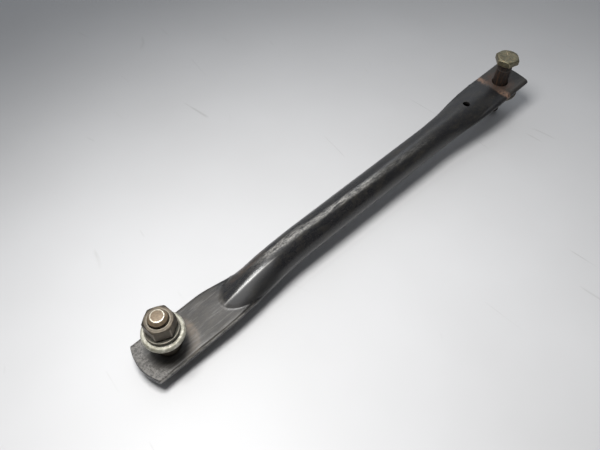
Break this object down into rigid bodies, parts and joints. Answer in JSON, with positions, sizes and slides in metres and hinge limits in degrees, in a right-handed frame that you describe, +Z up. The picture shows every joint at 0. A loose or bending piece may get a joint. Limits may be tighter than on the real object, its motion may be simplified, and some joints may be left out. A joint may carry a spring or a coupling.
{
  "type": "tubular link bar",
  "caption": "Black steel tube link bar with both ends pressed flat, each end carrying a bolt with a thick washer and a nut.",
  "frame": {"origin": "middle of the bottom of the bounding box, at floor level, halfway along the bar", "axes": "+X along the bar from the nut-up end to the head-up end, +Z up from the floor that it stands on; the bolts and tabs lean 2.32 degrees from Z, because the head-up end stands higher"},
  "size_m": [0.317, 0.0264, 0.0458],
  "materials": {
    "bar_paint": "semi-gloss black paint, worn to grey-brown metal on the near flat end, with streaks and a rust-brown band at the far one",
    "near_bolt_steel": "tarnished steel, tan at the tip, with a bright worn chamfer",
    "near_washer_nickel": "pale champagne plating with rough bright spots",
    "spring_washer_steel": "dark oxidised spring steel",
    "near_nut_steel": "dull olive-brown tarnished plating, brighter on the worn edges",
    "far_bolt_zinc": "yellow-green zinc on the head, dark rusty shank and thread",
    "far_washer_steel": "dull grey plating",
    "far_nut_steel": "dark tarnished plating"
  },
  "bodies": {
    "bar": {"bar_tube": "bar_paint"},
    "near_washer": {"near_plain_washer": "near_washer_nickel"},
    "near_bolt_body": {"near_bolt": "near_bolt_steel"},
    "near_spring": {"near_spring_washer": "spring_washer_steel"},
    "near_nut_body": {"near_nut": "near_nut_steel"},
    "far_bolt_body": {"far_bolt": "far_bolt_zinc"},
    "far_washer": {"far_plain_washer": "far_washer_steel"},
    "far_nut_body": {"far_nut": "far_nut_steel"}
  },
  "joints": [
    {"name": "near_float", "type": "slide", "parent": "bar", "child": "near_washer", "axis": [-0.0404, 0, 0.9992], "range_m": [-0.0122, 0]},
    {"name": "near_pivot", "type": "hinge", "parent": "near_washer", "child": "near_bolt_body", "pos_m": [-0.14078, 0, 0.00897], "axis": [-0.0404, 0, 0.9992], "continuous": true},
    {"name": "near_nut_lift", "type": "slide", "parent": "near_bolt_body", "child": "near_spring", "axis": [-0.0404, 0, 0.9992], "range_m": [0, 0.0101]},
    {"name": "near_nut_turn", "type": "hinge", "parent": "near_spring", "child": "near_nut_body", "pos_m": [-0.14078, 0, 0.00897], "axis": [-0.0404, 0, 0.9992], "range_deg": [0, 2880]},
    {"name": "far_pivot", "type": "hinge", "parent": "bar", "child": "far_bolt_body", "pos_m": [0.14139, 0, 0.02284], "axis": [-0.0404, 0, 0.9992], "continuous": true},
    {"name": "far_nut_drop", "type": "slide", "parent": "far_bolt_body", "child": "far_washer", "axis": [0.0404, 0, -0.9992], "range_m": [0, 0.0151]},
    {"name": "far_nut_turn", "type": "hinge", "parent": "far_washer", "child": "far_nut_body", "pos_m": [0.14139, 0, 0.02284], "axis": [0.0404, 0, -0.9992], "range_deg": [0, 4320]}
  ],
  "couplings": [
    {"joint": "near_nut_lift", "follows": "near_nut_turn", "m_per_rad": 0.00019894},
    {"joint": "far_nut_drop", "follows": "far_nut_turn", "m_per_rad": 0.00019894}
  ]
}
